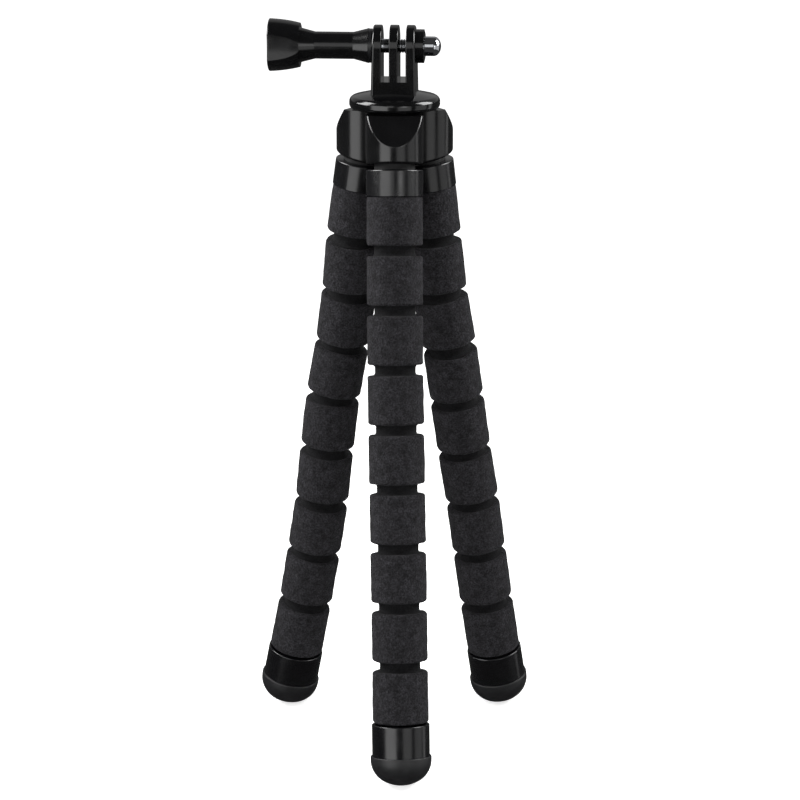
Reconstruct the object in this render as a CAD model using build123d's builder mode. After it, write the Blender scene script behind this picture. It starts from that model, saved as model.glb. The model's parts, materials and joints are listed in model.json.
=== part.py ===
"""Flexible leg tripod with a three-finger camera mount.

Three bendable legs hang from a three-lobed hub. Each leg is a row of foam-covered
segments that turn in one another like a chain of balls and sockets, held by a collar at
the hub and ending in a ferrule with a rubber foot. A round mount screws onto the stud of
the hub, and a thumb screw with a cap nut clamps a camera's two fingers between the three
fingers of the mount.

Units are millimetres. +Z is up, the feet stand on Z = 0, the hub stands on the Z axis,
the front leg points along -Y and the thumb screw lies along X.
"""
from build123d import *
from math import acos, atan2, cos, degrees, hypot, radians, sin, sqrt
import os

os.makedirs("parts", exist_ok=True)

# Driving sizes of the legs
foam_diameter = 20.0
segment_pitch = 21.25
groove_width = 3.8
neck_diameter = 14.6
foam_edge_radius = 1.2
end_foam_length = 18.5
collar_diameter = 20.4
collar_length = 9.4
collar_gap = 1.8
ferrule_diameter = 20.8
ferrule_length = 11.5
ferrule_seam = 0.6
foot_diameter = 22.0
tube_wall = 1.2
segment_count = 9

# Driving sizes of the hub and its stud
lobe_diameter = 20.5
lobe_circle_radius = 12.5
hub_core_diameter = 22.0
hub_height = 17.9
facet_height = 8.1
facet_slope = 54.0
socket_splay = 13.0
stud_diameter = 6.35
stud_reach = 6.0
pad_thickness = 0.5

# Driving sizes of the mount and its thumb screw
disk_diameter = 32.6
disk_height = 6.4
clevis_width = 15.0
finger_thickness = 3.1
finger_end_radius = 7.5
bolt_height = 22.3
slot_depth = 12.0
bolt_diameter = 5.0
boss_diameter = 12.0
boss_length = 3.4
nut_across_flats = 8.0
washer_thickness = 1.2
knob_diameter = 18.9
knob_length = 11.2
waist_diameter = 9.7
handle_reach = 37.5
mount_turn = -4.5

# Clearances, and how far a cut runs past what it cuts
running_clearance = 0.05
hole_clearance = 0.1
ball_clearance = 0.15
overrun = 1.0

# The legs stand evenly round the hub. How each was bent for its stance, in degrees: the
# splay of the front leg at the hub, and the bend at every neck further down, sideways and
# in or out by turns
front_azimuth = -90.0
leg_names = ("front", "right", "left")
leg_azimuths = {leg: front_azimuth + 360 * place / len(leg_names) for place, leg in enumerate(leg_names)}
front_splay = 11.1
leg_bend_degrees = {
    "front": (-0.3, 0.2, -0.6, -0.5, -0.1, 0.4, 0.3, 0.8),
    "left": (6.3, 3.2, -4.9, -3.9, 1.3, 3.3, -1.4, 1.4),
    "right": (-0.8, 4.6, -4.7, 0.3, 2.4, -1.7, 0.2, 1.0),
}

# Ball and socket of a neck, measured from its pivot
ball_radius = neck_diameter / 2
ball_cap_height = 0.58 * ball_radius
socket_radius = ball_radius + ball_clearance
socket_depth = 0.87 * ball_radius

# Leg segments, measured down the leg from the pivot of the neck above
foam_radius = foam_diameter / 2
foam_top = -groove_width / 2
foam_bottom = groove_width / 2 - segment_pitch

# Collar and the top segment that it holds
collar_radius = collar_diameter / 2
collar_edge_radius = 0.5
collar_top = -collar_gap / 2
spigot_top = collar_top - tube_wall
spigot_radius = collar_radius - tube_wall - running_clearance
top_foam_top = collar_top - collar_length
top_foam_bottom = top_foam_top - segment_pitch + groove_width
top_segment_length = groove_width / 2 - top_foam_bottom
root_stub_radius = 0.7 * ball_radius
root_stub_end = top_foam_top - tube_wall

# Last segment, ferrule and foot
end_foam_bottom = foam_top - end_foam_length
end_edge_radius = 0.6
ferrule_radius = ferrule_diameter / 2
ferrule_bore = ferrule_radius - tube_wall
ferrule_edge_radius = 0.4
plug_radius = ferrule_bore - running_clearance
ferrule_top = end_foam_bottom - ferrule_seam
ferrule_bottom = ferrule_top - ferrule_length
ferrule_web_top = ferrule_top - 0.45 * ferrule_length
ferrule_web_bottom = ferrule_web_top - tube_wall
foot_radius = foot_diameter / 2
foot_lip_height = 1.4
foot_edge_radius = 0.3
foot_dome_height = 0.85 * foot_radius
foot_tip_radius = 1.2 * foot_radius
foot_lip_bottom = ferrule_bottom - foot_lip_height
foot_tip_height = foot_lip_bottom - foot_dome_height + foot_tip_radius


def around_hub(radius, azimuth, height):
    """A point at a radius and azimuth round the hub's axis."""
    return Vector(radius * cos(radians(azimuth)), radius * sin(radians(azimuth)), height)


def ball_width(radius, height):
    """The radius of a ball's section at a height from its centre."""
    return sqrt(radius**2 - height**2)


def ball_arc(radius, centre_height, from_height, to_height):
    """The stretch of a ball's outline between two heights above or below its centre."""
    from_angle = atan2(from_height, ball_width(radius, from_height))
    to_angle = atan2(to_height, ball_width(radius, to_height))
    middle = (from_angle + to_angle) / 2
    return ThreePointArc(
        (ball_width(radius, from_height), centre_height + from_height),
        (radius * cos(middle), centre_height + radius * sin(middle)),
        (ball_width(radius, to_height), centre_height + to_height),
    )


def socket_plane(azimuth, height):
    """The plane of a lobe's underside, with its normal up the leg that starts there."""
    up_the_leg = around_hub(-sin(radians(socket_splay)), azimuth, cos(radians(socket_splay)))
    sideways = around_hub(1, azimuth + 90, 0)
    return Plane(around_hub(lobe_circle_radius, azimuth, height), sideways, up_the_leg)


def neck_planes(azimuth, height, first_bend, bends):
    """One plane at each neck of a leg, its normal up the segment below that neck."""
    hub_neck = socket_plane(azimuth, height).offset(-collar_gap / 2)
    planes = [hub_neck.moved(Rotation(-first_bend, 0, 0))]
    lengths = [top_segment_length] + [segment_pitch] * (segment_count - 2)
    for number, (bend, length) in enumerate(zip(bends, lengths)):
        below = planes[-1].offset(-length)
        sideways = number % 2 == 0
        planes.append(below.moved(Rotation(0, bend, 0) if sideways else Rotation(-bend, 0, 0)))
    return planes


def foot_centre(planes):
    """The middle of the ball that a foot's rounded tip is part of."""
    return planes[-1].offset(foot_tip_height).origin


def standing_bend(azimuth, bends, drop):
    """The bend at the hub that hangs a leg's foot a given drop below the lobe."""
    straight = neck_planes(azimuth, 0, 0, bends)
    pivot = straight[0].origin
    reach = foot_centre(straight) - pivot
    outward = reach.dot(around_hub(1, azimuth, 0))
    return degrees(acos((drop + pivot.Z) / hypot(outward, reach.Z)) - atan2(outward, -reach.Z))


# The front leg sets how high the hub stands, and the others are spread to stand with it
front_bend = front_splay - socket_splay
front_drop = -foot_centre(neck_planes(leg_azimuths["front"], 0, front_bend, leg_bend_degrees["front"])).Z
socket_height = front_drop + foot_tip_radius
legs = {}
for leg, azimuth in leg_azimuths.items():
    hub_bend = standing_bend(azimuth, leg_bend_degrees[leg], front_drop)
    legs[leg] = neck_planes(azimuth, socket_height, hub_bend, leg_bend_degrees[leg])

# Heights of the hub and of what stands on it
lobe_radius = lobe_diameter / 2
hub_top = socket_height + hub_height
core_drop = 1.2
lobe_edge_radius = 1.0
disk_bottom = hub_top + pad_thickness
bolt_axis_height = disk_bottom + bolt_height


def section(pivot):
    """The sketch plane through a segment's axis: x is the radius and y runs up the leg."""
    return Plane(pivot.origin, x_dir=pivot.x_dir, z_dir=-pivot.y_dir)


def spin(pivot):
    """Turn the sketch just drawn on a section plane about the segment's axis."""
    revolve(axis=Axis(pivot.origin, pivot.z_dir))


def ball_head():
    """The outline of a ball from the middle of its cut cap down to the foam's upper face."""
    Line((0, ball_cap_height), (ball_width(ball_radius, ball_cap_height), ball_cap_height))
    ball_arc(ball_radius, 0, ball_cap_height, foam_top)


def socket_pocket(length):
    """The outline of the pocket for the ball below, from its mouth to the middle of its roof."""
    ball_arc(socket_radius, -length, groove_width / 2, socket_depth)
    Line((ball_width(socket_radius, socket_depth), socket_depth - length), (0, socket_depth - length))


def foam_segment(pivot):
    """A foam ring with the ball of the neck above it and the socket of the neck below it."""
    mouth_radius = ball_width(socket_radius, groove_width / 2)
    with BuildPart() as piece:
        with BuildSketch(section(pivot)):
            with BuildLine():
                ball_head()
                FilletPolyline(
                    (ball_width(ball_radius, foam_top), foam_top),
                    (foam_radius, foam_top),
                    (foam_radius, foam_bottom),
                    (mouth_radius, foam_bottom),
                    radius=foam_edge_radius,
                )
                socket_pocket(segment_pitch)
                Line((0, socket_depth - segment_pitch), (0, ball_cap_height))
            make_face()
        spin(pivot)
    return piece


def top_foam_segment(pivot):
    """The first foam ring, with a spigot inside the collar and a bore for the root ball."""
    mouth_radius = ball_width(socket_radius, groove_width / 2)
    bore_radius = root_stub_radius + running_clearance
    with BuildPart() as piece:
        with BuildSketch(section(pivot)):
            with BuildLine():
                Polyline(
                    (0, root_stub_end),
                    (bore_radius, root_stub_end),
                    (bore_radius, spigot_top),
                    (spigot_radius, spigot_top),
                    (spigot_radius, top_foam_top),
                    (foam_radius, top_foam_top),
                )
                FilletPolyline(
                    (foam_radius, top_foam_top),
                    (foam_radius, top_foam_bottom),
                    (mouth_radius, top_foam_bottom),
                    radius=foam_edge_radius,
                )
                socket_pocket(top_segment_length)
                Line((0, socket_depth - top_segment_length), (0, root_stub_end))
            make_face()
        spin(pivot)
    return piece


def end_foam_segment(pivot):
    """The last foam ring, with the ball of its neck and a plug inside the ferrule."""
    with BuildPart() as piece:
        with BuildSketch(section(pivot)):
            with BuildLine():
                ball_head()
                FilletPolyline(
                    (ball_width(ball_radius, foam_top), foam_top),
                    (foam_radius, foam_top),
                    (foam_radius, end_foam_bottom),
                    (plug_radius, end_foam_bottom),
                    radius=(foam_edge_radius, end_edge_radius),
                )
                Polyline(
                    (plug_radius, end_foam_bottom),
                    (plug_radius, ferrule_web_top),
                    (0, ferrule_web_top),
                    (0, ball_cap_height),
                )
            make_face()
        spin(pivot)
    return piece


def root_ball(pivot):
    """The smooth ball that turns in the hub's lobe, with a stub that anchors the leg."""
    with BuildPart() as piece:
        with BuildSketch(section(pivot)):
            with BuildLine():
                Line((0, ball_cap_height), (ball_width(ball_radius, ball_cap_height), ball_cap_height))
                ball_arc(ball_radius, 0, ball_cap_height, spigot_top)
                Polyline(
                    (ball_width(ball_radius, spigot_top), spigot_top),
                    (root_stub_radius, spigot_top),
                    (root_stub_radius, root_stub_end),
                    (0, root_stub_end),
                    (0, ball_cap_height),
                )
            make_face()
        spin(pivot)
    return piece


def collar(pivot):
    """The moulded cap over a leg's upper end, open in the middle for the root ball."""
    hole_radius = ball_radius + running_clearance
    skirt_radius = collar_radius - tube_wall
    with BuildPart() as piece:
        with BuildSketch(section(pivot)):
            with BuildLine():
                FilletPolyline(
                    (hole_radius, collar_top),
                    (collar_radius, collar_top),
                    (collar_radius, top_foam_top),
                    radius=collar_edge_radius,
                )
                Polyline(
                    (collar_radius, top_foam_top),
                    (skirt_radius, top_foam_top),
                    (skirt_radius, spigot_top),
                    (hole_radius, spigot_top),
                    (hole_radius, collar_top),
                )
            make_face()
        spin(pivot)
    return piece


def ferrule(pivot):
    """The sleeve at a leg's lower end, with a web between the foam's plug and the foot's."""
    with BuildPart() as piece:
        with BuildSketch(section(pivot)):
            with BuildLine():
                FilletPolyline(
                    (ferrule_bore, ferrule_top),
                    (ferrule_radius, ferrule_top),
                    (ferrule_radius, ferrule_bottom),
                    radius=ferrule_edge_radius,
                )
                Polyline(
                    (ferrule_radius, ferrule_bottom),
                    (ferrule_bore, ferrule_bottom),
                    (ferrule_bore, ferrule_web_bottom),
                    (0, ferrule_web_bottom),
                    (0, ferrule_web_top),
                    (ferrule_bore, ferrule_web_top),
                    (ferrule_bore, ferrule_top),
                )
            make_face()
        spin(pivot)
    return piece


def rubber_foot(pivot):
    """The domed foot: a lip, a round shoulder that runs into a flatter tip, and a plug above."""
    rise = foot_tip_height - foot_lip_bottom
    spare_radius = foot_tip_radius - foot_radius
    run = (rise**2 - spare_radius**2) / (2 * spare_radius)
    shoulder_radius = foot_radius - run
    flank = atan2(rise, run)
    with BuildPart() as piece:
        with BuildSketch(section(pivot)):
            with BuildLine():
                Polyline(
                    (0, foot_tip_height - foot_tip_radius),
                    (0, ferrule_web_bottom),
                    (plug_radius, ferrule_web_bottom),
                    (plug_radius, ferrule_bottom),
                )
                FilletPolyline(
                    (plug_radius, ferrule_bottom),
                    (foot_radius, ferrule_bottom),
                    (foot_radius, foot_lip_bottom),
                    radius=foot_edge_radius,
                )
                CenterArc((run, foot_lip_bottom), shoulder_radius, 0, -degrees(flank))
                CenterArc((0, foot_tip_height), foot_tip_radius, -degrees(flank), degrees(flank) - 90)
            make_face()
        spin(pivot)
    return piece


# The three legs
for leg, pivots in legs.items():
    pieces = {"root_ball": root_ball(pivots[0]), "collar": collar(pivots[0])}
    pieces["segment_1"] = top_foam_segment(pivots[0])
    for number in range(2, segment_count):
        pieces[f"segment_{number}"] = foam_segment(pivots[number - 1])
    pieces[f"segment_{segment_count}"] = end_foam_segment(pivots[-1])
    pieces["ferrule"] = ferrule(pivots[-1])
    pieces["foot"] = rubber_foot(pivots[-1])
    for name, piece in pieces.items():
        piece.part.label = f"{leg}_{name}"
        export_step(piece.part, f"parts/{leg}_{name}.step")


# The stud, moulded into the hub by its hexagonal head
stud_radius = stud_diameter / 2
stud_head_radius = stud_diameter
stud_head_height = 4.0
stud_head_bottom = socket_height + hub_height / 2
stud_top = disk_bottom + stud_reach
stud_chamfer = 0.7

with BuildPart() as hub_stud:
    with BuildSketch(Plane.XY.offset(stud_head_bottom)):
        RegularPolygon(stud_head_radius, 6)
    extrude(amount=stud_head_height)
    with BuildSketch(Plane.XY.offset(stud_head_bottom)):
        Circle(stud_radius)
    extrude(amount=stud_top - stud_head_bottom)
    chamfer(hub_stud.edges().sort_by(Axis.Z)[-1], stud_chamfer)
hub_stud.part.label = "hub_stud"
export_step(hub_stud.part, "parts/hub_stud.step")


def hub_lobe(azimuth):
    """One lobe of the hub: a post cut square to its leg below and by a steep facet above."""
    slope = radians(facet_slope)
    lobe_bottom = socket_height - lobe_radius
    facet_point = around_hub(lobe_circle_radius + lobe_radius, azimuth, socket_height + facet_height)
    facet = Plane(facet_point, around_hub(1, azimuth + 90, 0), around_hub(sin(slope), azimuth, cos(slope)))
    with BuildPart() as lobe:
        with BuildSketch(Plane(around_hub(lobe_circle_radius, azimuth, lobe_bottom))):
            Circle(lobe_radius)
        extrude(amount=hub_top - lobe_bottom)
        split(bisect_by=socket_plane(azimuth, socket_height), keep=Keep.TOP)
        split(bisect_by=facet, keep=Keep.BOTTOM)
        fillet(lobe.edges().filter_by(GeomType.ELLIPSE), lobe_edge_radius)
    return lobe


# The hub: three lobes on a round core, with a socket for each leg and the stud's seat
hub_core_radius = hub_core_diameter / 2
lobes = [hub_lobe(azimuth) for azimuth in leg_azimuths.values()]

with BuildPart() as hub:
    with BuildSketch(Plane.XY.offset(socket_height - core_drop)):
        Circle(hub_core_radius)
    extrude(amount=hub_height + core_drop)
    for lobe in lobes:
        add(lobe.part)
    for azimuth in leg_azimuths.values():
        socket = socket_plane(azimuth, socket_height).offset(-collar_gap / 2)
        with BuildSketch(section(socket)):
            with BuildLine():
                Line((0, 0), (socket_radius, 0))
                ball_arc(socket_radius, 0, 0, socket_depth)
                Polyline((ball_width(socket_radius, socket_depth), socket_depth), (0, socket_depth), (0, 0))
            make_face()
        revolve(axis=Axis(socket.origin, socket.z_dir), mode=Mode.SUBTRACT)
    with BuildSketch(Plane.XY.offset(stud_head_bottom)):
        RegularPolygon(stud_head_radius + running_clearance, 6)
    extrude(amount=stud_head_height, mode=Mode.SUBTRACT)
    with BuildSketch(Plane.XY.offset(stud_head_bottom)):
        Circle(stud_radius + running_clearance)
    extrude(amount=hub_top - stud_head_bottom + overrun, mode=Mode.SUBTRACT)
hub.part.label = "hub"
export_step(hub.part, "parts/hub.step")


# The rubber pad between the hub and the mount
pad_radius = hub_core_radius - hole_clearance

with BuildPart() as mount_pad:
    with BuildSketch(Plane.XY.offset(hub_top)):
        Circle(pad_radius)
        Circle(stud_radius + hole_clearance, mode=Mode.SUBTRACT)
    extrude(amount=pad_thickness)
mount_pad.part.label = "mount_pad"
export_step(mount_pad.part, "parts/mount_pad.step")


# The brass insert in the mount's underside that the stud screws into
insert_radius = 4.3
insert_length = stud_reach

with BuildPart() as mount_insert:
    with BuildSketch(Plane.XY.offset(disk_bottom)):
        Circle(insert_radius)
        Circle(stud_radius + running_clearance, mode=Mode.SUBTRACT)
    extrude(amount=insert_length)


# The block of three fingers, drafted in front view, with a round top about the bolt
clevis_half = clevis_width / 2
clevis_draft = 0.6
block_edge_radius = 0.7
finger_edge_radius = 0.3
finger_gap = (clevis_width - 3 * finger_thickness) / 2
gap_centre = (finger_thickness + finger_gap) / 2
slot_floor = bolt_axis_height - slot_depth
finger_top = bolt_axis_height + finger_end_radius
inner_reach = clevis_half - finger_thickness / 2
block_foot = disk_bottom + disk_height / 3

with BuildPart() as finger_block:
    with BuildSketch(Plane.YZ):
        with BuildLine():
            Polyline(
                (-finger_end_radius, bolt_axis_height),
                (-finger_end_radius, block_foot),
                (finger_end_radius, block_foot),
                (finger_end_radius, bolt_axis_height),
            )
            ThreePointArc(
                (finger_end_radius, bolt_axis_height),
                (0, finger_top),
                (-finger_end_radius, bolt_axis_height),
            )
        make_face()
    extrude(amount=clevis_width, both=True)
    with BuildSketch(Plane.XZ):
        Polygon(
            (-clevis_half, finger_top),
            (-clevis_half - clevis_draft, block_foot),
            (clevis_half + clevis_draft, block_foot),
            (clevis_half, finger_top),
            align=None,
        )
    extrude(amount=finger_end_radius, both=True, mode=Mode.INTERSECT)
    outer_edges = finger_block.edges().filter_by(Axis.X, reverse=True).filter_by(Axis.Y, reverse=True)
    fillet(outer_edges, block_edge_radius)
    with BuildSketch(Plane.XZ):
        with Locations((-gap_centre, slot_floor), (gap_centre, slot_floor)):
            slot_height = slot_depth + finger_end_radius + overrun
            Rectangle(finger_gap, slot_height, align=(Align.CENTER, Align.MIN))
    extrude(amount=finger_end_radius + overrun, both=True, mode=Mode.SUBTRACT)
    inner_edges = finger_block.edges().filter_by_position(Axis.X, -inner_reach, inner_reach)
    inner_edges = inner_edges.filter_by_position(Axis.Z, slot_floor + finger_edge_radius, finger_top)
    fillet(inner_edges.filter_by(Axis.X, reverse=True), finger_edge_radius)


# The mount: a domed disk under the fingers, a raised spot for the washer and the nut's boss
disk_radius = disk_diameter / 2
disk_edge_radius = 1.7
disk_rim_share = 0.4
shoulder_radius_share = 0.89
shoulder_height_share = 0.72
dome_radius_share = 0.47
dome_height_share = 0.93
rim_top = disk_bottom + disk_rim_share * disk_height
shoulder = (shoulder_radius_share * disk_radius, disk_bottom + shoulder_height_share * disk_height)
dome_side = (dome_radius_share * disk_radius, disk_bottom + dome_height_share * disk_height)
dome_top = disk_bottom + disk_height
bolt_radius = bolt_diameter / 2
bolt_hole_radius = bolt_radius + hole_clearance
spot_height = 0.5
spot_face = -clevis_half - spot_height
boss_radius = boss_diameter / 2
boss_end = clevis_half + boss_length
boss_bevel = 0.35
nut_radius = nut_across_flats / 2 / cos(radians(30))
nut_hex_length = 4.4
nut_seat = boss_end - nut_hex_length
bolt_axis = Axis((0, 0, bolt_axis_height), (1, 0, 0))

with BuildPart() as camera_mount:
    with BuildSketch(Plane.XZ):
        with BuildLine():
            FilletPolyline(
                (0, disk_bottom),
                (disk_radius, disk_bottom),
                (disk_radius, rim_top),
                radius=disk_edge_radius,
            )
            TangentArc((disk_radius, rim_top), shoulder, tangent=(0, 1))
            ThreePointArc(shoulder, dome_side, (0, dome_top))
            Line((0, dome_top), (0, disk_bottom))
        make_face()
    revolve(axis=Axis.Z)
    add(finger_block.part)
    with BuildSketch(Plane.XZ):
        with BuildLine():
            Polyline(
                (inner_reach, bolt_axis_height),
                (inner_reach, bolt_axis_height + boss_radius),
                (boss_end - boss_bevel, bolt_axis_height + boss_radius),
                (boss_end, bolt_axis_height + nut_radius),
                (boss_end, bolt_axis_height),
                close=True,
            )
        make_face()
    revolve(axis=bolt_axis)
    with BuildSketch(Plane.YZ.offset(spot_face)):
        with Locations((0, bolt_axis_height)):
            Circle(boss_radius)
    extrude(amount=spot_height + finger_thickness / 2)
    with BuildSketch(Plane.YZ.offset(spot_face - overrun)):
        with Locations((0, bolt_axis_height)):
            Circle(bolt_hole_radius)
    extrude(amount=clevis_width + spot_height + overrun, mode=Mode.SUBTRACT)
    with BuildSketch(Plane.YZ.offset(nut_seat)):
        with Locations((0, bolt_axis_height)):
            RegularPolygon(nut_radius + running_clearance, 6)
    extrude(amount=nut_hex_length + overrun, mode=Mode.SUBTRACT)
    with BuildSketch(Plane.XY.offset(disk_bottom - overrun)):
        Circle(insert_radius + running_clearance)
    extrude(amount=insert_length + overrun, mode=Mode.SUBTRACT)


# The cap nut, held in the boss by its hexagon and closed by a dome
cap_radius = 3.5
cap_length = 5.7
cap_dome_height = 2.6
bolt_engagement = 7.2
cap_end = boss_end + cap_length
dome_start = cap_end - cap_dome_height

with BuildPart() as cap_nut:
    with BuildSketch(Plane.YZ.offset(nut_seat)):
        with Locations((0, bolt_axis_height)):
            RegularPolygon(nut_radius, 6)
    extrude(amount=nut_hex_length)
    with BuildSketch(Plane.XZ):
        with BuildLine():
            Polyline(
                (cap_end, bolt_axis_height),
                (nut_seat, bolt_axis_height),
                (nut_seat, bolt_axis_height + cap_radius),
                (dome_start, bolt_axis_height + cap_radius),
            )
            EllipticalCenterArc((dome_start, bolt_axis_height), cap_dome_height, cap_radius)
        make_face()
    revolve(axis=bolt_axis)
    with BuildSketch(Plane.YZ.offset(nut_seat)):
        with Locations((0, bolt_axis_height)):
            Circle(bolt_radius + running_clearance)
    extrude(amount=bolt_engagement + hole_clearance, mode=Mode.SUBTRACT)


# The washer between the raised spot and the thumb screw
washer_radius = 6.1
handle_start = spot_face - washer_thickness

with BuildPart() as bolt_washer:
    with BuildSketch(Plane.YZ.offset(handle_start)):
        with Locations((0, bolt_axis_height)):
            Circle(washer_radius)
            Circle(bolt_hole_radius, mode=Mode.SUBTRACT)
    extrude(amount=washer_thickness)


# The bolt, with a hexagonal head moulded into the knob
handle_end = -clevis_half - handle_reach
bolt_head_length = 3.5
bolt_head_start = handle_end + knob_length / 3
bolt_head_radius = nut_radius
bolt_tip = nut_seat + bolt_engagement
bolt_chamfer = 0.5

with BuildPart() as clevis_bolt:
    with BuildSketch(Plane.YZ.offset(bolt_head_start)):
        with Locations((0, bolt_axis_height)):
            RegularPolygon(bolt_head_radius, 6)
    extrude(amount=bolt_head_length)
    with BuildSketch(Plane.YZ.offset(bolt_head_start)):
        with Locations((0, bolt_axis_height)):
            Circle(bolt_radius)
    extrude(amount=bolt_tip - bolt_head_start)
    chamfer(clevis_bolt.edges().sort_by(Axis.X)[-1], bolt_chamfer)


# The handle: a barrel flared at both ends and a knob with three flutes for the fingers
flute_count = 3
flute_depth_radius = 7.75
flute_curve_radius = 24.0
barrel_end_radius = 6.25
flare_length = 5.4
waist_radius = waist_diameter / 2
knob_radius = knob_diameter / 2
knob_inner_radius = 7.9
knob_edge_radius = 0.5
knob_start = handle_end + knob_length
knob_swell = (handle_end + 0.55 * knob_length, knob_radius - 0.35 * (knob_radius - knob_inner_radius))
flute_turn = 180.0


def from_bolt(x, radius):
    """A point of the handle's outline at a radius above the bolt's axis."""
    return (x, bolt_axis_height + radius)


with BuildPart() as thumb_screw_handle:
    with BuildSketch(Plane.XZ):
        with BuildLine():
            Polyline(
                from_bolt(handle_end, 0),
                from_bolt(handle_start, 0),
                from_bolt(handle_start, barrel_end_radius),
                from_bolt(handle_start - flare_length, waist_radius),
                from_bolt(knob_start + flare_length, waist_radius),
                from_bolt(knob_start, barrel_end_radius),
                from_bolt(knob_start, knob_inner_radius),
            )
            ThreePointArc(
                from_bolt(knob_start, knob_inner_radius),
                from_bolt(*knob_swell),
                from_bolt(handle_end, knob_radius),
            )
            Line(from_bolt(handle_end, knob_radius), from_bolt(handle_end, 0))
        make_face()
    revolve(axis=bolt_axis)
    with BuildSketch(Plane.YZ.offset(handle_end)):
        with Locations((0, bolt_axis_height)):
            with PolarLocations(flute_depth_radius + flute_curve_radius, flute_count, flute_turn):
                Circle(flute_curve_radius)
    extrude(amount=knob_length, mode=Mode.SUBTRACT)
    rim = thumb_screw_handle.faces().sort_by(Axis.X)[0].edges()
    fillet(rim, knob_edge_radius)
    with BuildSketch(Plane.YZ.offset(bolt_head_start)):
        with Locations((0, bolt_axis_height)):
            RegularPolygon(bolt_head_radius + running_clearance, 6)
    extrude(amount=bolt_head_length, mode=Mode.SUBTRACT)
    with BuildSketch(Plane.YZ.offset(bolt_head_start)):
        with Locations((0, bolt_axis_height)):
            Circle(bolt_radius + running_clearance)
    extrude(amount=handle_start - bolt_head_start + overrun, mode=Mode.SUBTRACT)


# The mount and all that it carries stand a little turned on the stud
mount_pieces = {
    "mount_insert": mount_insert,
    "camera_mount": camera_mount,
    "cap_nut": cap_nut,
    "bolt_washer": bolt_washer,
    "clevis_bolt": clevis_bolt,
    "thumb_screw_handle": thumb_screw_handle,
}
for name, piece in mount_pieces.items():
    turned = piece.part.rotate(Axis.Z, mount_turn)
    turned.label = name
    export_step(turned, f"parts/{name}.step")
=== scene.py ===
"""The looks of a flexible leg tripod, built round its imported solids.

Three foam-covered legs stand on rubber feet and hang from a moulded hub, which carries a
screw-on mount with three fingers and a thumb screw with a cap nut. Lengths are metres, and
sizes are written in millimetres times mm. The legs' places come from the frame's joints.
"""

import json
import math

import bmesh
import bpy
from mathutils import Matrix, Vector, noise


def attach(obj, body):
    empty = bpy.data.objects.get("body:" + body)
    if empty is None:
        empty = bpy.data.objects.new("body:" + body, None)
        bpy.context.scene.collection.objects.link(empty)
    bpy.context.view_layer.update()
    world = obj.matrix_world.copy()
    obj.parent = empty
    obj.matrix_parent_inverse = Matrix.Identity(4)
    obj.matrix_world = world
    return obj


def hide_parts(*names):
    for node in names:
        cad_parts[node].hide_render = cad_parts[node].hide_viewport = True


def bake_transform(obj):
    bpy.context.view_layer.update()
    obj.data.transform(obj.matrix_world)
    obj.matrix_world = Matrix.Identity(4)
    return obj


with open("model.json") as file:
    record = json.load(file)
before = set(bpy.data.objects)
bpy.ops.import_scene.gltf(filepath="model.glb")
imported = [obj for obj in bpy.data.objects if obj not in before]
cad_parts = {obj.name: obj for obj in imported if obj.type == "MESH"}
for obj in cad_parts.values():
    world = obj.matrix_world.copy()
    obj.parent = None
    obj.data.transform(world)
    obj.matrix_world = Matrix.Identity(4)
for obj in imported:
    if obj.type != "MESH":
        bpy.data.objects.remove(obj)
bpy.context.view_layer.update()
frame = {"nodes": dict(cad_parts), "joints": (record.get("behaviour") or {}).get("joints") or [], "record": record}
mm = 0.001


# The hub
# The real hub is one injection-moulded part in black plastic, three lobes round a short
# core. Its polished mould leaves a smooth gloss in which the soft lamps draw upright bands.
def srgb(code):
    """The linear colour of an sRGB code of six hex digits."""
    shades = [int(code[place:place + 2], 16) / 255 for place in (0, 2, 4)]
    return [s / 12.92 if s <= 0.04045 else ((s + 0.055) / 1.055) ** 2.4 for s in shades] + [1.0]


def add_node(tree, kind, settings, links):
    """A new node with its settings, and its inputs set to a value or linked to an output."""
    node = tree.nodes.new(kind)
    for name, value in settings.items():
        setattr(node, name, value)
    for name, value in links.items():
        if isinstance(value, bpy.types.NodeSocket):
            tree.links.new(value, node.inputs[name])
        else:
            node.inputs[name].default_value = value
    return node


def new_material(name):
    """An empty material, its node tree and its shader, joined to the output."""
    material = bpy.data.materials.new(name)
    material.use_nodes = True
    tree = material.node_tree
    tree.nodes.clear()
    shader = add_node(tree, "ShaderNodeBsdfPrincipled", {}, {})
    add_node(tree, "ShaderNodeOutputMaterial", {}, {"Surface": shader.outputs["BSDF"]})
    return material, tree, shader


def set_look(tree, shader, links):
    """The shader's sockets, each set to a constant or linked to a pattern."""
    for name, value in links.items():
        if isinstance(value, bpy.types.NodeSocket):
            tree.links.new(value, shader.inputs[name])
        else:
            shader.inputs[name].default_value = value


def dress(node_name, material):
    """A solid of the frame keeps its shape and takes this finish."""
    piece = frame["nodes"][node_name]
    for slot in piece.material_slots:
        slot.link = "OBJECT"
        slot.material = material


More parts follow.
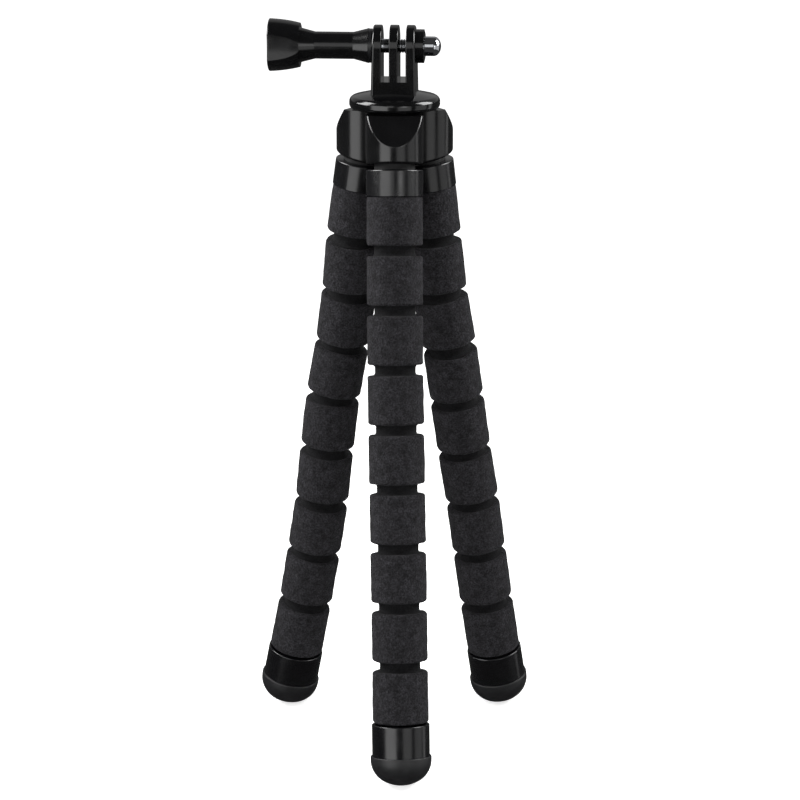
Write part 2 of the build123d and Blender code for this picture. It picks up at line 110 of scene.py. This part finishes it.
def moulded_plastic(name, colour, worn_colour, roughness, flow_size, grain_size, grain_height):
    """Black moulded plastic: slow flow marks in its gloss over a fine skin from the mould."""
    material, tree, shader = new_material(name)
    place = add_node(tree, "ShaderNodeTexCoord", {}, {}).outputs["Object"]
    flow = add_node(tree, "ShaderNodeTexNoise", {}, {
        "Vector": place, "Scale": 1 / flow_size, "Detail": 3.0, "Roughness": 0.5, "Distortion": 0.6,
    }).outputs["Fac"]
    grain = add_node(tree, "ShaderNodeTexNoise", {}, {
        "Vector": place, "Scale": 1 / grain_size, "Detail": 2.0, "Roughness": 0.6,
    }).outputs["Fac"]
    shade = add_node(tree, "ShaderNodeMix", {"data_type": "RGBA"}, {
        "Factor": flow, "A": srgb(colour), "B": srgb(worn_colour),
    })
    gloss = add_node(tree, "ShaderNodeMapRange", {}, {
        "Value": flow, "From Min": 0.3, "From Max": 0.7,
        "To Min": 0.85 * roughness, "To Max": 1.15 * roughness,
    }).outputs["Result"]
    skin = add_node(tree, "ShaderNodeBump", {}, {
        "Height": grain, "Distance": grain_height, "Strength": 0.3,
    }).outputs["Normal"]
    set_look(tree, shader, {
        "Base Color": shade.outputs["Result"], "Roughness": gloss, "Normal": skin, "IOR": 1.5,
    })
    return material


# The skin left by a real mould is finer than the camera resolves, so its grain is drawn coarser.
hub_plastic = moulded_plastic(
    "Polished_black_hub_moulding", colour="050506", worn_colour="09090a", roughness=0.22,
    flow_size=9 * mm, grain_size=0.6 * mm, grain_height=0.004 * mm,
)
dress("hub", hub_plastic)


# The hub's stud
# A zinc-plated steel stud with a quarter inch thread, moulded into the hub by its head. It
# shows only when the mount is off: pale grey metal with fine turning marks round it.
def turned_metal(name, colour, cloud_colour, roughness, mark_size, mark_height):
    """Metal off a lathe: even, with fine marks and a slightly cloudy surface."""
    material, tree, shader = new_material(name)
    place = add_node(tree, "ShaderNodeTexCoord", {}, {}).outputs["Object"]
    marks = add_node(tree, "ShaderNodeTexNoise", {}, {
        "Vector": place, "Scale": 1 / mark_size, "Detail": 4.0, "Roughness": 0.7,
    }).outputs["Fac"]
    cloud = add_node(tree, "ShaderNodeTexNoise", {}, {
        "Vector": place, "Scale": 0.2 / mark_size, "Detail": 2.0,
    }).outputs["Fac"]
    shade = add_node(tree, "ShaderNodeMix", {"data_type": "RGBA"}, {
        "Factor": cloud, "A": srgb(colour), "B": srgb(cloud_colour),
    })
    gloss = add_node(tree, "ShaderNodeMapRange", {}, {
        "Value": marks, "To Min": 0.7 * roughness, "To Max": 1.3 * roughness,
    }).outputs["Result"]
    scored = add_node(tree, "ShaderNodeBump", {}, {
        "Height": marks, "Distance": mark_height, "Strength": 0.4,
    }).outputs["Normal"]
    set_look(tree, shader, {
        "Base Color": shade.outputs["Result"], "Metallic": 1.0, "Roughness": gloss, "Normal": scored,
    })
    return material


plated_steel = turned_metal(
    "Zinc_plated_turned_steel", colour="c4c6ca", cloud_colour="8f9194", roughness=0.2,
    mark_size=0.5 * mm, mark_height=0.003 * mm,
)
dress("hub_stud", plated_steel)


# The pad on the hub
# A thin ring of soft rubber that grips the mount when it is screwed down. Only its dull
# dark edge shows, as the seam between the hub and the mount.
def moulded_rubber(name, colour, bloom_colour, roughness, bloom_size, grain_size, grain_height):
    """Moulded rubber: dull and dark, with a faint bloom and the mould's fine texture."""
    material, tree, shader = new_material(name)
    place = add_node(tree, "ShaderNodeTexCoord", {}, {}).outputs["Object"]
    bloom = add_node(tree, "ShaderNodeTexNoise", {}, {
        "Vector": place, "Scale": 1 / bloom_size, "Detail": 5.0, "Roughness": 0.6,
    }).outputs["Fac"]
    grain = add_node(tree, "ShaderNodeTexVoronoi", {"feature": "F1"}, {
        "Vector": place, "Scale": 1 / grain_size,
    }).outputs["Distance"]
    patch = add_node(tree, "ShaderNodeMapRange", {}, {
        "Value": bloom, "From Min": 0.4, "From Max": 0.75,
    }).outputs["Result"]
    shade = add_node(tree, "ShaderNodeMix", {"data_type": "RGBA"}, {
        "Factor": patch, "A": srgb(colour), "B": srgb(bloom_colour),
    })
    dull = add_node(tree, "ShaderNodeMapRange", {}, {
        "Value": bloom, "To Min": 0.85 * roughness, "To Max": 1.1 * roughness,
    }).outputs["Result"]
    skin = add_node(tree, "ShaderNodeBump", {}, {
        "Height": grain, "Distance": grain_height, "Strength": 0.6,
    }).outputs["Normal"]
    set_look(tree, shader, {
        "Base Color": shade.outputs["Result"], "Roughness": dull, "Normal": skin, "IOR": 1.52,
    })
    return material


pad_rubber = moulded_rubber(
    "Soft_grip_rubber", colour="0c0c0c", bloom_colour="151515", roughness=0.7,
    bloom_size=3 * mm, grain_size=0.4 * mm, grain_height=0.02 * mm,
)
dress("mount_pad", pad_rubber)


# The legs, from the hub down
# Each leg hangs from a ball of black nylon that turns in its lobe. Rubbing has dulled the
# ball, and its colour is drawn a touch darker than the other mouldings as painted shade,
# so the gap under the lobe stays dark and soft.
ball_plastic_painted_shade = moulded_plastic(
    "Rubbed_nylon_ball_painted_gap_shade", colour="040405", worn_colour="070708", roughness=0.7,
    flow_size=6 * mm, grain_size=0.5 * mm, grain_height=0.003 * mm,
)
legs = ("front", "left", "right")
necks = {}
for leg in legs:
    dress(f"{leg}_root_ball", ball_plastic_painted_shade)
    necks[leg] = [
        Vector(joint["pos_m"]) for joint in frame["joints"] if joint["child"].startswith(f"{leg}_link_")
    ]


# The collars
# A collar is a short moulded cap pushed over the top of each leg. Its outside is straight
# and polished, with a small rounded edge at the top that catches the lamps.
collar_plastic = moulded_plastic(
    "Polished_black_collar", colour="050507", worn_colour="0a0a0c", roughness=0.24,
    flow_size=7 * mm, grain_size=0.6 * mm, grain_height=0.004 * mm,
)
for leg in legs:
    dress(f"{leg}_collar", collar_plastic)


# The foam rings
# Each segment is covered by a ring of black closed-cell foam, cut from tube and ground round.
# The cut cells give a dull grey, finely speckled skin, and the ends stay slightly uneven.
ring_radius = 10 * mm
ring_edge_radius = 0.9 * mm
groove_width = 3.8 * mm
last_ring_length = 18.5 * mm
foot_tip_radius = 13.2 * mm
steps_round = 96
corner_steps = 6
end_steps = 6
side_steps = 16
merge_distance = 0.001 * mm
unevenness = 0.16 * mm
unevenness_size = 3.5 * mm


def arc_points(centre, radius, from_degrees, to_degrees, steps):
    """Points of a round corner of an outline, the first and the last included."""
    spread = [from_degrees + (to_degrees - from_degrees) * step / steps for step in range(steps + 1)]
    return [
        (centre[0] + radius * math.cos(math.radians(a)), centre[1] + radius * math.sin(math.radians(a)))
        for a in spread
    ]


def line_points(start, end, steps):
    """Points along a straight stretch of an outline, without the last one."""
    return [
        (start[0] + (end[0] - start[0]) * step / steps, start[1] + (end[1] - start[1]) * step / steps)
        for step in range(steps)
    ]


def axis_place(origin, along):
    """The matrix that stands a piece made on the Z axis at a point, its Z along a direction."""
    return Matrix.Translation(origin) @ along.to_track_quat("Z", "Y").to_matrix().to_4x4()


def spun_piece(name, outline, steps, place):
    """A closed turned form: an outline of radius and height spun once round the Z axis."""
    mesh = bmesh.new()
    points = [mesh.verts.new((radius, 0, height)) for radius, height in outline]
    edges = [mesh.edges.new(pair) for pair in zip(points, points[1:])]
    bmesh.ops.spin(
        mesh, geom=points + edges, cent=(0, 0, 0), axis=(0, 0, 1), dvec=(0, 0, 0),
        angle=math.tau, steps=steps, use_merge=True, use_duplicate=False,
    )
    bmesh.ops.remove_doubles(mesh, verts=mesh.verts, dist=merge_distance)
    bmesh.ops.recalc_face_normals(mesh, faces=mesh.faces)
    bmesh.ops.transform(mesh, matrix=place, verts=mesh.verts)
    return shown_piece(name, mesh)


def shown_piece(name, mesh):
    """The finished mesh as an object at the origin, shaded smooth."""
    data = bpy.data.meshes.new(name)
    mesh.to_mesh(data)
    mesh.free()
    data.shade_smooth()
    piece = bpy.data.objects.new(name, data)
    bpy.context.scene.collection.objects.link(piece)
    return piece


def wear_uneven(piece, height, size):
    """Lift and sink the surface gently, as soft foam never stays quite straight."""
    mesh = bmesh.new()
    mesh.from_mesh(piece.data)
    for point in mesh.verts:
        point.co += point.normal * height * noise.noise(point.co / size)
    mesh.to_mesh(piece.data)
    mesh.free()


def cell_foam(name, low_colour, high_colour, cell_size, mottle_size, depth):
    """Ground closed-cell foam: open cells as dark specks in a dull grey, mottled skin."""
    material, tree, shader = new_material(name)
    place = add_node(tree, "ShaderNodeTexCoord", {}, {}).outputs["Object"]
    cells = add_node(tree, "ShaderNodeTexNoise", {}, {
        "Vector": place, "Scale": 1 / cell_size, "Detail": 3.0, "Roughness": 0.65,
    }).outputs["Fac"]
    specks = add_node(tree, "ShaderNodeTexVoronoi", {"feature": "F1"}, {
        "Vector": place, "Scale": 0.7 / cell_size, "Randomness": 1.0,
    }).outputs["Distance"]
    mottle = add_node(tree, "ShaderNodeTexNoise", {}, {
        "Vector": place, "Scale": 1 / mottle_size, "Detail": 4.0, "Roughness": 0.55,
    }).outputs["Fac"]
    pale = add_node(tree, "ShaderNodeMapRange", {}, {
        "Value": mottle, "From Min": 0.3, "From Max": 0.7, "To Min": 0.15, "To Max": 0.85,
    }).outputs["Result"]
    skin = add_node(tree, "ShaderNodeMix", {"data_type": "RGBA"}, {
        "Factor": pale, "A": srgb(low_colour), "B": srgb(high_colour),
    }).outputs["Result"]
    open_cells = add_node(tree, "ShaderNodeMapRange", {}, {
        "Value": cells, "From Min": 0.38, "From Max": 0.62, "To Min": 0.25, "To Max": 1.0,
    }).outputs["Result"]
    shade = add_node(tree, "ShaderNodeMix", {"data_type": "RGBA", "blend_type": "MULTIPLY"}, {
        "Factor": 1.0, "A": skin, "B": open_cells,
    })
    depths = add_node(tree, "ShaderNodeMath", {"operation": "MULTIPLY"}, {0: cells, 1: specks}).outputs[0]
    pitted = add_node(tree, "ShaderNodeBump", {}, {
        "Height": depths, "Distance": depth, "Strength": 0.8,
    }).outputs["Normal"]
    set_look(tree, shader, {
        "Base Color": shade.outputs["Result"], "Roughness": 1.0, "Normal": pitted, "IOR": 1.35,
    })
    return material


# The real cells are finer than the camera resolves, so they are drawn somewhat coarser.
ring_foam = cell_foam(
    "Ground_black_foam", low_colour="171618", high_colour="363539",
    cell_size=0.6 * mm, mottle_size=2.6 * mm, depth=0.8 * mm,
)
contacts = {mount["name"]: Vector(mount["pos_m"]) for mount in frame["record"]["mounts"]}

# A leg's points are its necks from the hub down, and last the centre of its foot's round tip.
leg_points = {}
for leg in legs:
    foot_centre = contacts[f"{leg}_foot_contact"] + Vector((0, 0, foot_tip_radius))
    leg_points[leg] = necks[leg] + [foot_centre]
    pitch = (necks[leg][2] - necks[leg][1]).length
    for number, (upper, lower) in enumerate(zip(leg_points[leg], leg_points[leg][1:]), start=1):
        if number < len(necks[leg]):
            bottom = groove_width / 2 - (upper - lower).length
            top = bottom + pitch - groove_width
        else:
            top = -groove_width / 2
            bottom = top - last_ring_length
        flat_radius = ring_radius - ring_edge_radius
        side_top, side_bottom = top - ring_edge_radius, bottom + ring_edge_radius
        outline = line_points((0, top), (flat_radius, top), end_steps)
        outline += arc_points((flat_radius, side_top), ring_edge_radius, 90, 0, corner_steps)
        outline += line_points((ring_radius, side_top), (ring_radius, side_bottom), side_steps)[1:]
        outline += arc_points((flat_radius, side_bottom), ring_edge_radius, 0, -90, corner_steps)
        outline += line_points((flat_radius, bottom), (0, bottom), end_steps)[1:] + [(0, bottom)]
        ring = spun_piece(f"{leg}_foam_ring_{number}", outline, steps_round, axis_place(upper, upper - lower))
        wear_uneven(ring, unevenness, unevenness_size)
        ring.data.materials.append(ring_foam)
        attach(ring, f"{leg}_link_{number}")
        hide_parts(f"{leg}_segment_{number}")


# The necks between the rings
# In each groove a thinner sleeve of the same foam runs over the joint of the leg's core. It
# swells out softly to the rings above and below it.
neck_radius = 7.3 * mm
neck_swell = 1.1 * mm
neck_overlap = 0.4 * mm
neck_side_steps = 4
# The darker colours of this foam are painted shade of the grooves, which lie in the rings' shade.
neck_foam_painted_shade = cell_foam(
    "Groove_foam_painted_shade", low_colour="0e0e10", high_colour="171719",
    cell_size=0.5 * mm, mottle_size=2.0 * mm, depth=0.2 * mm,
)
for leg in legs:
    for number, neck in enumerate(necks[leg][1:], start=1):
        up = (leg_points[leg][number - 1] - neck).normalized()
        down = (leg_points[leg][number + 1] - neck).normalized()
        start = neck + up * groove_width / 2
        end = neck + down * groove_width / 2
        half = (start - end).length / 2
        wide_radius = neck_radius + neck_swell
        side_top, end_top = half - neck_swell, half + neck_overlap
        outline = [(0, end_top), (wide_radius, end_top)]
        outline += arc_points((wide_radius, side_top), neck_swell, 90, 180, corner_steps)
        outline += line_points((neck_radius, side_top), (neck_radius, -side_top), neck_side_steps)[1:]
        outline += arc_points((wide_radius, -side_top), neck_swell, 180, 270, corner_steps)
        outline += [(wide_radius, -end_top), (0, -end_top)]
        sleeve = spun_piece(
            f"{leg}_neck_sleeve_{number}", outline, steps_round, axis_place((start + end) / 2, start - end)
        )
        wear_uneven(sleeve, unevenness / 2, unevenness_size)
        sleeve.data.materials.append(neck_foam_painted_shade)
        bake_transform(sleeve)


# The ferrules
# A ferrule is a moulded black sleeve that closes the lower end of each leg and holds the
# foot. It is polished like the collar, but handling leaves it a little less even.
ferrule_plastic = moulded_plastic(
    "Polished_black_ferrule", colour="050507", worn_colour="0a0a0c", roughness=0.24,
    flow_size=6 * mm, grain_size=0.6 * mm, grain_height=0.004 * mm,
)
for leg in legs:
    dress(f"{leg}_ferrule", ferrule_plastic)


# The feet
# Each foot is a dome of black rubber plugged into its ferrule. Rubber scatters the light
# widely, so the dome has one broad soft sheen and no sharp highlight.
foot_rubber = moulded_rubber(
    "Domed_foot_rubber", colour="121214", bloom_colour="1b1b1d", roughness=0.5,
    bloom_size=4 * mm, grain_size=0.35 * mm, grain_height=0.02 * mm,
)
for leg in legs:
    dress(f"{leg}_foot", foot_rubber)


# The mount
# The mount is one glossy black moulding: a round base, a block, and three fingers that
# take the two fingers of a camera. It is the most polished plastic on the tripod.
mount_plastic = moulded_plastic(
    "High_gloss_black_mount", colour="040405", worn_colour="080809", roughness=0.15,
    flow_size=8 * mm, grain_size=0.5 * mm, grain_height=0.003 * mm,
)
dress("camera_mount", mount_plastic)


# The insert in the mount
# A brass bush with a female thread, pressed into the base to take the stud. It is hidden
# once the mount is on. Bare turned brass looks warm yellow, with soft streaky highlights.
insert_brass = turned_metal(
    "Turned_brass_bush", colour="c9a55c", cloud_colour="a98545", roughness=0.3,
    mark_size=0.4 * mm, mark_height=0.01 * mm,
)
dress("mount_insert", insert_brass)


# The washer under the thumb screw
# A small washer of black nylon, loose on the bolt, that lets the thumb screw turn against
# the finger. It is a little greyer than the glossy plastics on both sides of it.
washer_plastic = moulded_plastic(
    "Black_nylon_washer", colour="101011", worn_colour="17171a", roughness=0.3,
    flow_size=3 * mm, grain_size=0.4 * mm, grain_height=0.005 * mm,
)
dress("bolt_washer", washer_plastic)


# The bolt
# A steel machine bolt with a smooth shank near the thumb screw and a rolled thread of
# 0.8 mm pitch beyond it. Its crests glint in the gap between the fingers.
bolt_solid = frame["nodes"]["clevis_bolt"]
turn_joint = next(j for j in frame["joints"] if j["name"] == "screw_turn")
bolt_along = Vector(turn_joint["axis"]).normalized()
if bolt_along.x < 0:
    bolt_along = -bolt_along
bolt_middle = Vector(turn_joint["pos_m"])
reaches = [(v.co - bolt_middle).dot(bolt_along) for v in bolt_solid.data.vertices]
bolt_start, bolt_end = min(reaches), max(reaches)
shank_radius = 2.5 * mm
root_radius = 2.08 * mm
thread_pitch = 0.8 * mm
crest_width = 0.12 * mm
shank_past_middle = 1.0 * mm
thread_start = shank_past_middle - bolt_middle.dot(bolt_along)
thread_shift = thread_pitch / 4
tip_chamfer = 0.5 * mm
shank_steps = 64

bolt_place = axis_place(bolt_middle, bolt_along)
shank_outline = [
    (0, bolt_start),
    (shank_radius, bolt_start),
    (shank_radius, thread_start),
    (root_radius, thread_start + thread_pitch / 2),
    (root_radius, bolt_end - tip_chamfer),
    (root_radius - tip_chamfer, bolt_end),
    (0, bolt_end),
]
shank = spun_piece("clevis_bolt_shank", shank_outline, shank_steps, bolt_place)
shank.data.materials.append(plated_steel)
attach(shank, "thumb_screw")
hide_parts("clevis_bolt")

thread = bmesh.new()
ridge = [
    thread.verts.new((root_radius, 0, 0)),
    thread.verts.new((shank_radius, 0, (thread_pitch - crest_width) / 2)),
    thread.verts.new((shank_radius, 0, (thread_pitch + crest_width) / 2)),
    thread.verts.new((root_radius, 0, thread_pitch)),
]
ridge_edges = [thread.edges.new(pair) for pair in zip(ridge, ridge[1:])]
turns = int((bolt_end - tip_chamfer - thread_start) / thread_pitch) - 1
steps_a_turn = 40
thread_merge_distance = 0.01 * mm
bmesh.ops.spin(
    thread, geom=ridge + ridge_edges, cent=(0, 0, 0), axis=(0, 0, 1),
    dvec=(0, 0, thread_pitch / steps_a_turn), angle=math.tau * turns, steps=steps_a_turn * turns,
    use_merge=False, use_duplicate=False,
)
bmesh.ops.remove_doubles(thread, verts=thread.verts, dist=thread_merge_distance)
bmesh.ops.recalc_face_normals(thread, faces=thread.faces)

# The ridge begins a quarter of a pitch along the shank's run-out.
thread_place = bolt_place @ Matrix.Translation((0, 0, thread_start + thread_shift))
bmesh.ops.transform(thread, matrix=thread_place, verts=thread.verts)
ridges = shown_piece("clevis_bolt_thread", thread)
ridges.data.materials.append(plated_steel)
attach(ridges, "thumb_screw")


# The thumb screw
# A long moulded knob with deep flutes for the fingers and a slim waist, moulded on the
# bolt's head. Its mould was polished less, so its gloss is softer than the mount's.
handle_plastic = moulded_plastic(
    "Satin_black_knob", colour="040405", worn_colour="080809", roughness=0.2,
    flow_size=6 * mm, grain_size=0.45 * mm, grain_height=0.006 * mm,
)
dress("thumb_screw_handle", handle_plastic)


# The cap nut
# A small domed steel nut in bright chrome, held in the boss of the mount. Chrome mirrors
# the lamps as hard white bands between nearly black ones.
nut_chrome = turned_metal(
    "Bright_chrome_plating", colour="d9dbdf", cloud_colour="8f9194", roughness=0.08,
    mark_size=0.8 * mm, mark_height=0.002 * mm,
)
dress("cap_nut", nut_chrome)


# The floor
# A plain white board under the tripod. The camera sees it nearly as bright as the
# background, and it keeps the tripod's soft shadow.
floor_half = 4.0
floor_mesh = bmesh.new()
bmesh.ops.create_grid(floor_mesh, x_segments=1, y_segments=1, size=floor_half)
floor = shown_piece("floor_board", floor_mesh)
floor_paint = bpy.data.materials.new("Matt_white_board")
floor_paint.use_nodes = True
tree = floor_paint.node_tree
tree.nodes.clear()
seen = add_node(tree, "ShaderNodeLightPath", {}, {}).outputs["Is Camera Ray"]
board_place = add_node(tree, "ShaderNodeTexCoord", {}, {}).outputs["Object"]
away = add_node(tree, "ShaderNodeVectorMath", {"operation": "LENGTH"}, {0: board_place}).outputs["Value"]
paleness = add_node(tree, "ShaderNodeMapRange", {"interpolation_type": "SMOOTHSTEP"}, {
    "Value": away, "From Min": 0.1, "From Max": 0.8, "To Min": 0.7, "To Max": 1.0,
}).outputs["Result"]
share_seen = add_node(tree, "ShaderNodeMath", {"operation": "MULTIPLY"}, {0: seen, 1: paleness}).outputs[0]
matt = add_node(tree, "ShaderNodeBsdfDiffuse", {}, {"Color": srgb("f2f2f2")}).outputs["BSDF"]
pale = add_node(tree, "ShaderNodeEmission", {}, {
    "Color": srgb("ffffff"), "Strength": share_seen,
}).outputs["Emission"]
both = add_node(tree, "ShaderNodeAddShader", {}, {0: matt, 1: pale}).outputs["Shader"]
add_node(tree, "ShaderNodeOutputMaterial", {}, {"Surface": both})
floor.data.materials.append(floor_paint)
floor.visible_glossy = False


# The lamps
# Tall soft boxes round the front draw the upright bands in the gloss: a bright one on the
# left, dimmer ones ahead and on the right. High boxes at both sides model the foam rings.
def soft_box(name, azimuth, heights, distance, width, brightness):
    """An upright area lamp at an azimuth in degrees to the camera's right, between two heights."""
    lamp = bpy.data.lights.new(name, "AREA")
    lamp.shape = "RECTANGLE"
    lamp.size, lamp.size_y = width, heights[1] - heights[0]
    lamp.energy = brightness * math.pi * lamp.size * lamp.size_y
    box = bpy.data.objects.new(name, lamp)
    bpy.context.scene.collection.objects.link(box)
    turn = math.radians(azimuth)
    box.location = (distance * math.sin(turn), -distance * math.cos(turn), sum(heights) / 2)
    box.rotation_euler = (math.radians(90), 0, turn)
    box.visible_camera = False


soft_box("left_soft_box", azimuth=-39, heights=(-0.35, 0.6), distance=1.2, width=0.95, brightness=2.7)
soft_box("middle_soft_box", azimuth=-10, heights=(0.2, 0.9), distance=1.25, width=0.34, brightness=1.1)
soft_box("front_soft_box", azimuth=25, heights=(-0.35, 0.5), distance=1.25, width=0.76, brightness=1.0)
soft_box("right_soft_box", azimuth=71, heights=(-0.35, 0.5), distance=1.25, width=0.75, brightness=0.8)
soft_box("right_strip", azimuth=101, heights=(-0.35, 0.6), distance=1.2, width=0.2, brightness=1.4)
soft_box("upper_front_box", azimuth=24, heights=(0.25, 0.6), distance=1.15, width=0.3, brightness=2.2)
soft_box("left_side_box", azimuth=-90, heights=(0.33, 1.0), distance=0.55, width=0.4, brightness=12.0)
soft_box("right_side_box", azimuth=94, heights=(0.35, 1.0), distance=0.6, width=0.4, brightness=11.0)


# The background
# White wherever the camera looks. In what the gloss mirrors the room is dark, apart from a
# pale wall above the floor behind the tripod. On matt surfaces it sheds an even light.
dark_room = 0.06
pale_wall = 0.35
even_light = 0.18
world = bpy.data.worlds.new("White_room")
bpy.context.scene.world = world
world.use_nodes = True
tree = world.node_tree
tree.nodes.clear()
path = add_node(tree, "ShaderNodeLightPath", {}, {})
direction = add_node(tree, "ShaderNodeTexCoord", {}, {}).outputs["Generated"]
parts = add_node(tree, "ShaderNodeSeparateXYZ", {}, {"Vector": direction})
behind = add_node(tree, "ShaderNodeMapRange", {}, {
    "Value": parts.outputs["Y"], "From Min": 0.5, "From Max": 0.6,
}).outputs["Result"]
above = add_node(tree, "ShaderNodeMapRange", {}, {
    "Value": parts.outputs["Z"], "From Min": 0.08, "From Max": 0.16,
}).outputs["Result"]
wall = add_node(tree, "ShaderNodeMath", {"operation": "MULTIPLY"}, {0: behind, 1: above}).outputs[0]
mirrored = add_node(tree, "ShaderNodeMapRange", {}, {
    "Value": wall, "To Min": dark_room, "To Max": pale_wall,
}).outputs["Result"]
brightness = add_node(tree, "ShaderNodeMix", {"data_type": "FLOAT"}, {
    "Factor": path.outputs["Is Glossy Ray"], "A": even_light, "B": mirrored,
}).outputs["Result"]
strength = add_node(tree, "ShaderNodeMath", {"operation": "MAXIMUM"}, {
    0: path.outputs["Is Camera Ray"], 1: brightness,
}).outputs[0]
sky = add_node(tree, "ShaderNodeBackground", {}, {
    "Color": srgb("ffffff"), "Strength": strength,
}).outputs["Background"]
add_node(tree, "ShaderNodeOutputWorld", {}, {"Surface": sky})


# The camera
# Straight ahead of the front leg and looking slightly down, from a little over a metre. Its
# long lens takes in the whole tripod with little taper.
camera_tilt = 14.48
camera_data = bpy.data.cameras.new("camera")
camera_data.sensor_width = 36.0
camera_data.lens = 137.93
camera = bpy.data.objects.new("camera", camera_data)
bpy.context.scene.collection.objects.link(camera)
camera.location = (1.9 * mm, -1088.9 * mm, 410.1 * mm)
camera.rotation_euler = (math.radians(90 - camera_tilt), 0, 0)
bpy.context.scene.camera = camera
bpy.context.scene.view_settings.view_transform = "Standard"
